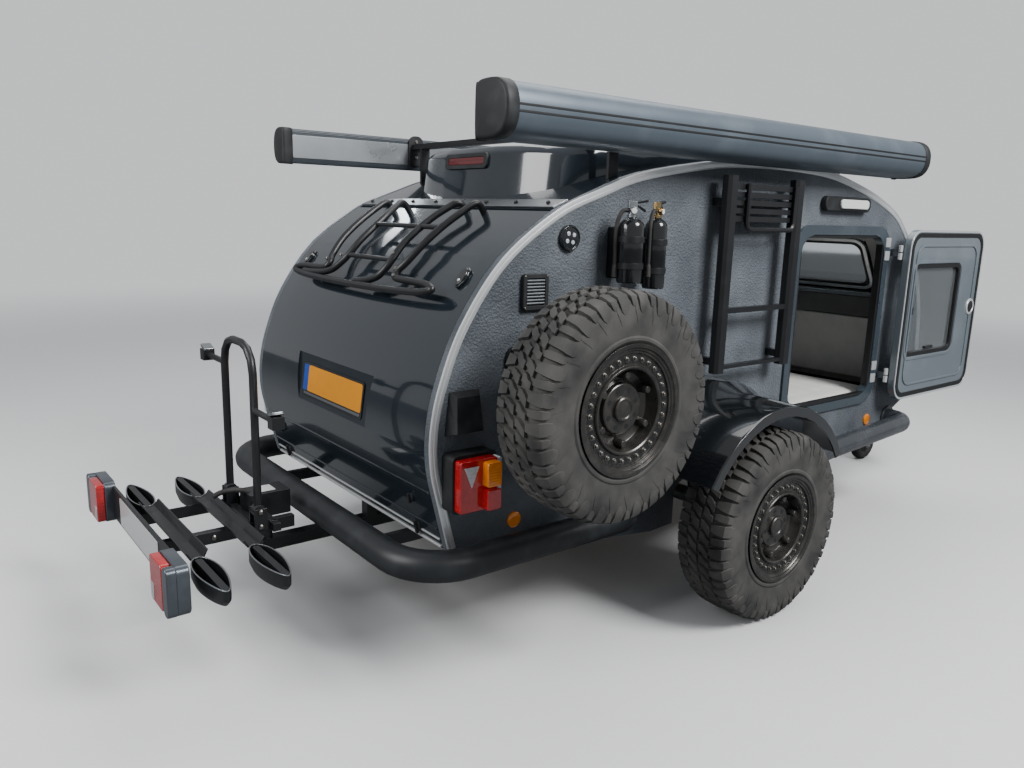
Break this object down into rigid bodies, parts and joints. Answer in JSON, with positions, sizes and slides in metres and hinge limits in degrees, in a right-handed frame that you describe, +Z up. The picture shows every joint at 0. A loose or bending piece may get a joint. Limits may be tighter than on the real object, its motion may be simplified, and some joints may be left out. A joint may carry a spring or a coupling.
{
  "type": "teardrop trailer",
  "caption": "Off-road teardrop camping trailer with rear hatch, side doors, roof awning cases, spare wheel, tube bumpers and a folding bike carrier.",
  "frame": {"origin": "on the ground, under the middle of the trailer's length and width", "axes": "+X to the right, +Y forward to the coupler, +Z up"},
  "size_m": [2.522, 5.2495, 1.993],
  "materials": {
    "gloss_paint": "gloss dark blue-grey paint",
    "coarse_coating": "coarse mid grey liner coating",
    "frame_paint": "satin grey moulding",
    "black_powder_coat": "satin black powder coat",
    "bottle_paint": "gloss black enamel",
    "black_plastic": "moulded matt black",
    "tube_coat": "satin dark grey powder coat",
    "galvanised_steel": "hot-dip galvanised",
    "tyre_rubber": "matt black tyre rubber",
    "solid_rubber": "matt black solid rubber",
    "dark_alloy": "satin dark bronze-black",
    "awning_case": "satin anthracite",
    "anodised_aluminium": "satin anodised",
    "red_lens": "clear moulded lens",
    "white_fabric": "white quilted cover",
    "plywood": "sealed plywood",
    "tinted_acrylic": "tinted acrylic"
  },
  "bodies": {
    "trailer": {"chassis": "galvanised_steel", "axle": "galvanised_steel", "tyre_spare": "tyre_rubber", "rim_spare": "dark_alloy", "spare_bracket": "black_powder_coat", "side_wall_right": "coarse_coating", "side_wall_left": "coarse_coating", "roof_skin": "gloss_paint", "hinge_rail": "anodised_aluminium", "floor_board": "plywood", "bulkhead": "plywood", "galley": "plywood", "mattress": "white_fabric", "fender_right": "gloss_paint", "fender_left": "gloss_paint", "rear_bumper": "tube_coat", "slider_right": "tube_coat", "slider_left": "tube_coat", "door_frame_right": "frame_paint", "door_frame_left": "frame_paint", "roof_pod": "gloss_paint", "brake_lamp": "red_lens", "awning_right": "awning_case", "awning_left": "anodised_aluminium", "crossbar_rear": "black_powder_coat", "crossbar_front": "black_powder_coat", "tail_lamp_right": "red_lens", "tail_lamp_left": "red_lens", "side_vent": "black_plastic", "inlet_hood": "black_plastic", "porch_lamp_right": "anodised_aluminium", "porch_lamp_left": "anodised_aluminium", "extinguisher_rear": "bottle_paint", "extinguisher_front": "bottle_paint", "ladder": "black_powder_coat", "coupler": "galvanised_steel", "jockey_clamp": "galvanised_steel", "tow_bar": "black_powder_coat", "carrier_frame": "black_powder_coat", "lamp_board": "red_lens"},
    "wheel_right": {"tyre_right": "tyre_rubber", "rim_right": "dark_alloy"},
    "wheel_left": {"tyre_left": "tyre_rubber", "rim_left": "dark_alloy"},
    "door_right": {"door_right": "frame_paint", "door_glass_right": "tinted_acrylic"},
    "door_left": {"door_left": "frame_paint", "door_glass_left": "tinted_acrylic"},
    "hatch": {"hatch_panel": "gloss_paint", "hatch_rack": "black_powder_coat"},
    "hoop": {"carrier_hoop": "black_powder_coat"},
    "jockey_fork": {"jockey_fork": "galvanised_steel"},
    "jockey_wheel": {"jockey_wheel": "solid_rubber"},
    "steady_right": {"steady_right": "galvanised_steel"},
    "steady_left": {"steady_left": "galvanised_steel"}
  },
  "joints": [
    {"name": "wheel_right_spin", "type": "hinge", "parent": "trailer", "child": "wheel_right", "pos_m": [1.1435, -0.495, 0.385], "axis": [-1, 0, 0], "continuous": true},
    {"name": "wheel_left_spin", "type": "hinge", "parent": "trailer", "child": "wheel_left", "pos_m": [-1.1435, -0.495, 0.385], "axis": [-1, 0, 0], "continuous": true},
    {"name": "door_right_swing", "type": "hinge", "parent": "trailer", "child": "door_right", "pos_m": [0.815, 1.035, 0.62], "axis": [0, 0, 1], "range_deg": [-180, 0]},
    {"name": "door_left_swing", "type": "hinge", "parent": "trailer", "child": "door_left", "pos_m": [-0.815, 1.035, 0.62], "axis": [0, 0, -1], "range_deg": [0, 180]},
    {"name": "hatch_open", "type": "hinge", "parent": "trailer", "child": "hatch", "pos_m": [0, -1.29216, 1.58998], "axis": [-1, 0, 0], "range_deg": [0, 75]},
    {"name": "hoop_fold", "type": "hinge", "parent": "trailer", "child": "hoop", "pos_m": [0, -2.195, 0.485], "axis": [1, 0, 0], "range_deg": [0, 78]},
    {"name": "jockey_swivel", "type": "hinge", "parent": "trailer", "child": "jockey_fork", "pos_m": [0.235, 2.025, 0.3], "axis": [0, 0, 1], "continuous": true},
    {"name": "jockey_spin", "type": "hinge", "parent": "jockey_fork", "child": "jockey_wheel", "pos_m": [0.235, 1.98, 0.11], "axis": [-1, 0, 0], "continuous": true},
    {"name": "steady_right_drop", "type": "hinge", "parent": "trailer", "child": "steady_right", "pos_m": [0.6, -0.845, 0.352], "axis": [1, 0, 0], "range_deg": [0, 44]},
    {"name": "steady_left_drop", "type": "hinge", "parent": "trailer", "child": "steady_left", "pos_m": [-0.6, -0.845, 0.352], "axis": [1, 0, 0], "range_deg": [0, 44]}
  ],
  "couplings": [
    {"joint": "hoop_fold", "follows": "hatch_open", "ratio": 1.04}
  ]
}
